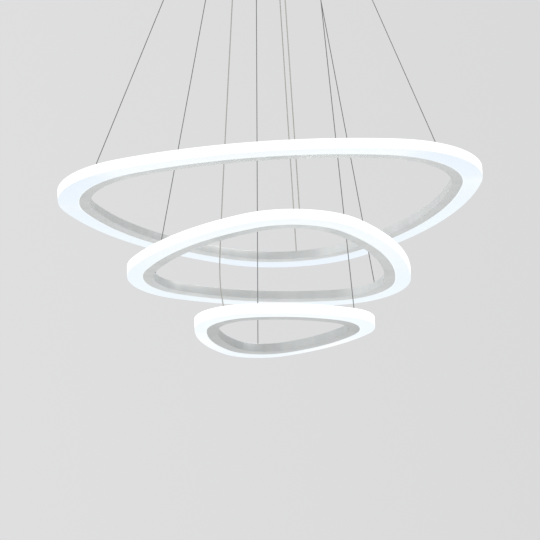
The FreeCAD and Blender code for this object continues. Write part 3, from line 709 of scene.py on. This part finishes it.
def opal_acrylic():
    """Milky acrylic lit from inside: white outer wall, cool band with a paler inner edge."""
    material, shader = new_material("opal_acrylic")
    mottle = noise(material, OPAL_MOTTLE, detail=2.0)
    link(material, mottled(material, mottle, *OPAL_TONES), shader.inputs["Base Color"])
    link(material, between(material, mottle, *OPAL_ROUGHNESS), shader.inputs["Roughness"])
    shader.inputs["IOR"].default_value = OPAL_IOR
    depths = node(material, "SeparateXYZ",
                  {"Vector": node(material, "UVMap", uv_map="band").outputs["UV"]})
    width = worked_out(material, "ADD", depths.outputs["X"], depths.outputs["Y"])
    share = node(material, "MapRange", {"Value": width, "From Min": NARROWEST_BAND,
                                        "From Max": WIDEST_BAND}).outputs["Result"]
    far = smooth_step(material, coordinate(material, "Y"), *NEAR_FADE)
    wide = smooth_step(material, share, *WIDE_SHARE)
    cool = worked_out(material, "MAXIMUM", far, wide)
    band = mixed(material, cool, NEAR_GLOW, ramp(material, share, *BAND_GLOW))
    edge = smooth_step(material, depths.outputs["Y"], 0.0, EDGE_FADE)
    wall = smooth_step(material, depths.outputs["X"], *WALL_FADE)
    glow = mixed(material, wall, WALL_GLOW, mixed(material, edge, EDGE_GLOW, band))
    link(material, glow, shader.inputs["Emission Color"])
    shader.inputs["Emission Strength"].default_value = 1.0
    return material


def twisted_steel():
    """Thin stranded steel wire: helical strands of dull grey metal, with painted shade in the
    grooves between them.
    """
    material, shader = new_material("steel_wire")
    parts = node(material, "SeparateXYZ", {"Vector": surface_uv(material)})
    along = worked_out(material, "MULTIPLY", parts.outputs["Y"], STRANDS_PER_METRE)
    around = worked_out(material, "MULTIPLY", parts.outputs["X"], STRANDS_AROUND)
    passed = worked_out(material, "ADD", along, around)
    turn = worked_out(material, "MULTIPLY", passed, 2.0 * math.pi)
    height = between(material, worked_out(material, "SINE", turn), 0.0, 1.0)
    # Painted shade: the wire's colour is darker in the grooves between its strands.
    link(material, ramp(material, height, *STEEL_TONES_WITH_GROOVE_SHADE), shader.inputs["Base Color"])
    shader.inputs["Metallic"].default_value = 1.0
    shader.inputs["Roughness"].default_value = STEEL_ROUGHNESS
    link(material, bump(material, height, STRAND_BUMP), shader.inputs["Normal"])
    return material


def make_materials():
    """Every material, by the record's slot name."""
    made = {name: plain(name, **looks) for name, looks in PLAIN_LOOKS.items()}
    made["satin_aluminium"] = satin_aluminium()
    made["opal_acrylic"] = opal_acrylic()
    made["steel_wire"] = twisted_steel()
    return made


def paint_cad(materials):
    """Gives every carried-over CAD node its slot's material."""
    for part in frame["record"]["subparts"]:
        shown = frame["nodes"][part["node"]]
        shown.data.materials.clear()
        shown.data.materials.append(materials[part["material_slot"]])


# ------------------------------------------------------------------------- the studio
# WORLD_LEAN: how much brighter the surround grows along each axis. LIGHTS: (name, place, watts,
# size), all aimed at AIM.
WORLD_COLOUR = (1.0, 1.0, 1.01, 1.0)
WORLD_GREY = 0.68
WORLD_LEAN = (-0.19, 0.04, 0.0)
FLOOR_Z = -2.75
FLOOR_SIZE = 40.0
FLOOR_LOOKS = dict(colour=(0.88, 0.88, 0.88), roughness=0.7, mottle=0.01)
LIGHTS = (("key", Vector((-5.0, -2.0, 1.0)), 15.0, 5.0), ("fill", Vector((2.5, 1.0, 4.5)), 140.0, 4.0))
AIM = Vector((0.0, 0.0, -0.65))


def add_studio():
    """A plain pale floor, a pale surround that is brighter on one side, and two soft lights."""
    world = bpy.data.worlds.new("studio")
    world.use_nodes = True
    background = world.node_tree.nodes["Background"]
    background.inputs["Color"].default_value = WORLD_COLOUR
    lean = node(world, "VectorMath", {0: node(world, "TexCoord").outputs["Generated"],
                                      1: WORLD_LEAN}, operation="DOT_PRODUCT")
    link(world, worked_out(world, "ADD", lean.outputs["Value"], WORLD_GREY),
         background.inputs["Strength"])
    SCENE.world = world
    half = FLOOR_SIZE / 2.0
    mesh = bpy.data.meshes.new("floor")
    mesh.from_pydata([(-half, -half, FLOOR_Z), (half, -half, FLOOR_Z), (half, half, FLOOR_Z),
                      (-half, half, FLOOR_Z)], [], [(0, 1, 2, 3)])
    floor = bpy.data.objects.new("floor", mesh)
    floor.data.materials.append(plain("floor_paint", **FLOOR_LOOKS))
    SCENE.collection.objects.link(floor)
    for name, place, power, size in LIGHTS:
        light = bpy.data.lights.new(name, "AREA")
        light.energy = power
        light.size = size
        lamp = bpy.data.objects.new(name, light)
        turn = (AIM - place).to_track_quat("-Z", "Y").to_matrix().to_4x4()
        lamp.matrix_world = Matrix.Translation(place) @ turn
        SCENE.collection.objects.link(lamp)
    SCENE.view_settings.view_transform = "Standard"
    SCENE.view_settings.look = "None"


add_camera()
MATERIALS = make_materials()
add_wires(MATERIALS)
add_springs(MATERIALS)
paint_cad(MATERIALS)
add_rings(MATERIALS)
add_studio()
